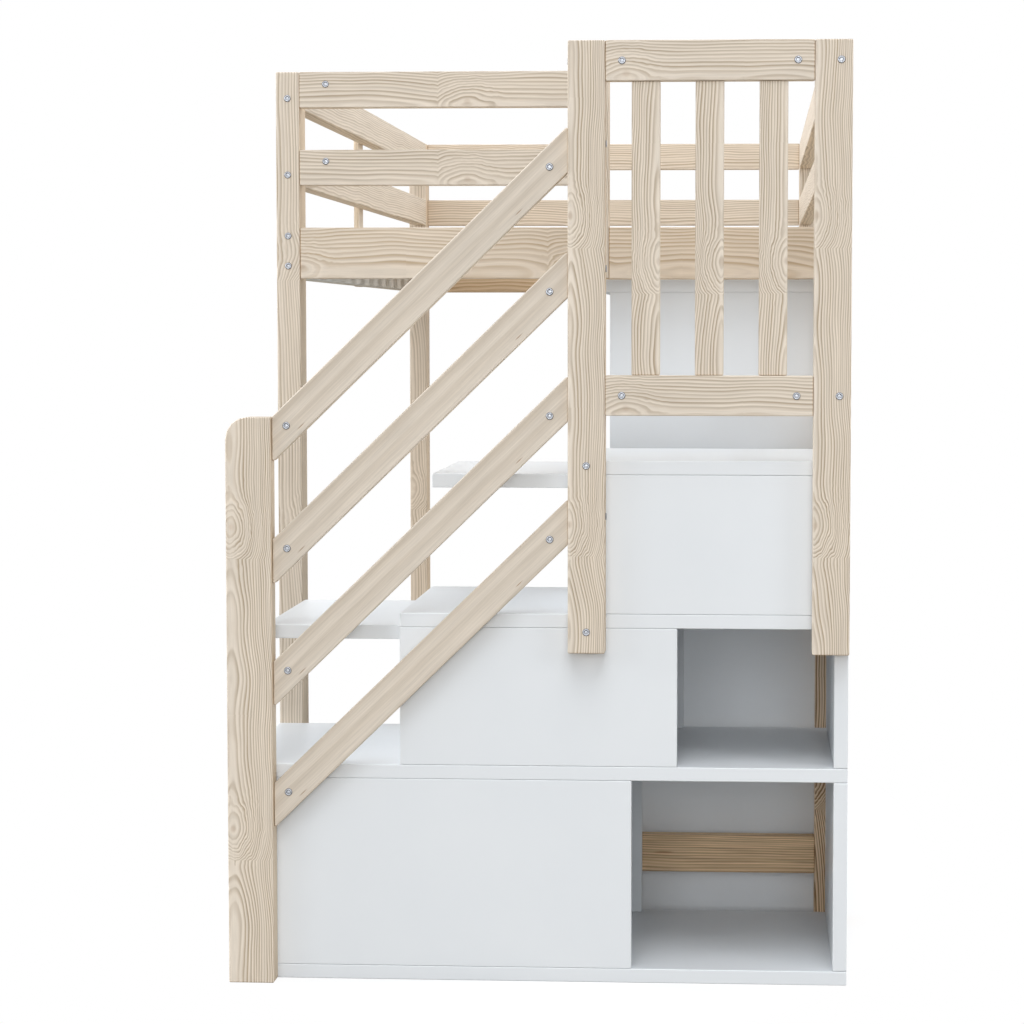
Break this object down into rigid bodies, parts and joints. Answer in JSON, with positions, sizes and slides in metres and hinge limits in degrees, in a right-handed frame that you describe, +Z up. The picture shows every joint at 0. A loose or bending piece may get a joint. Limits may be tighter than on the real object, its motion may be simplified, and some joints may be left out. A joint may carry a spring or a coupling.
{
  "type": "loft bed with storage stairs",
  "caption": "Twin loft bed of pale pine, entered at one end by stairs made of three white storage boxes with handrails and a slatted guard.",
  "frame": {"origin": "middle of the bed's whole footprint, on the floor", "axes": "+X across the bed to the right as seen from the stairs, +Y along the bed away from the stairs, +Z up"},
  "size_m": [1.062, 2.4842, 1.608],
  "materials": {
    "pine": "matt clear-finished pine with strong grain",
    "white_board": "satin white laminate on board",
    "slat_wood": "plain sanded wood",
    "webbing": "woven white polyester tape",
    "zinc_steel": "bright zinc-plated steel"
  },
  "bodies": {
    "root": {"cabinet_back": "white_board", "cabinet_far_end": "white_board", "cabinet_floor": "white_board", "cabinet_near_end": "white_board", "cabinet_shelf": "white_board", "cabinet_top": "white_board", "entry_post": "pine", "far_end_beam": "pine", "far_end_crossbar": "pine", "far_end_middle_rail": "pine", "far_end_top_rail": "pine", "far_left_post": "pine", "far_right_post": "pine", "first_tread": "white_board", "guard_baluster_1": "pine", "guard_baluster_2": "pine", "guard_baluster_3": "pine", "guard_left_post": "pine", "guard_lower_rail": "pine", "guard_return_lower_rail": "pine", "guard_return_top_rail": "pine", "guard_right_post": "pine", "guard_top_rail": "pine", "handrail_1": "pine", "handrail_2": "pine", "handrail_3": "pine", "handrail_4": "pine", "left_side_beam": "pine", "left_side_middle_rail": "pine", "left_side_stile": "pine", "left_side_top_rail": "pine", "lower_box_back_panel": "white_board", "lower_box_floor": "white_board", "lower_box_front_panel": "white_board", "lower_box_left_end": "white_board", "lower_box_right_end": "white_board", "middle_box_back_panel": "white_board", "middle_box_front_panel": "white_board", "middle_box_left_end": "white_board", "middle_box_right_end": "white_board", "near_end_beam": "pine", "near_end_crossbar": "pine", "near_end_middle_rail": "pine", "near_end_top_rail": "pine", "near_left_post": "pine", "near_right_post": "pine", "newel_post": "pine", "right_side_beam": "pine", "right_side_middle_rail": "pine", "right_side_stile": "pine", "right_side_top_rail": "pine", "second_tread": "white_board", "second_tread_plank": "white_board", "slat_roll": "slat_wood", "third_tread": "white_board", "third_tread_plank": "white_board", "upper_box_back_panel": "white_board", "upper_box_front_panel": "white_board", "upper_box_left_end": "white_board", "upper_box_right_end": "white_board"}
  },
  "joints": []
}
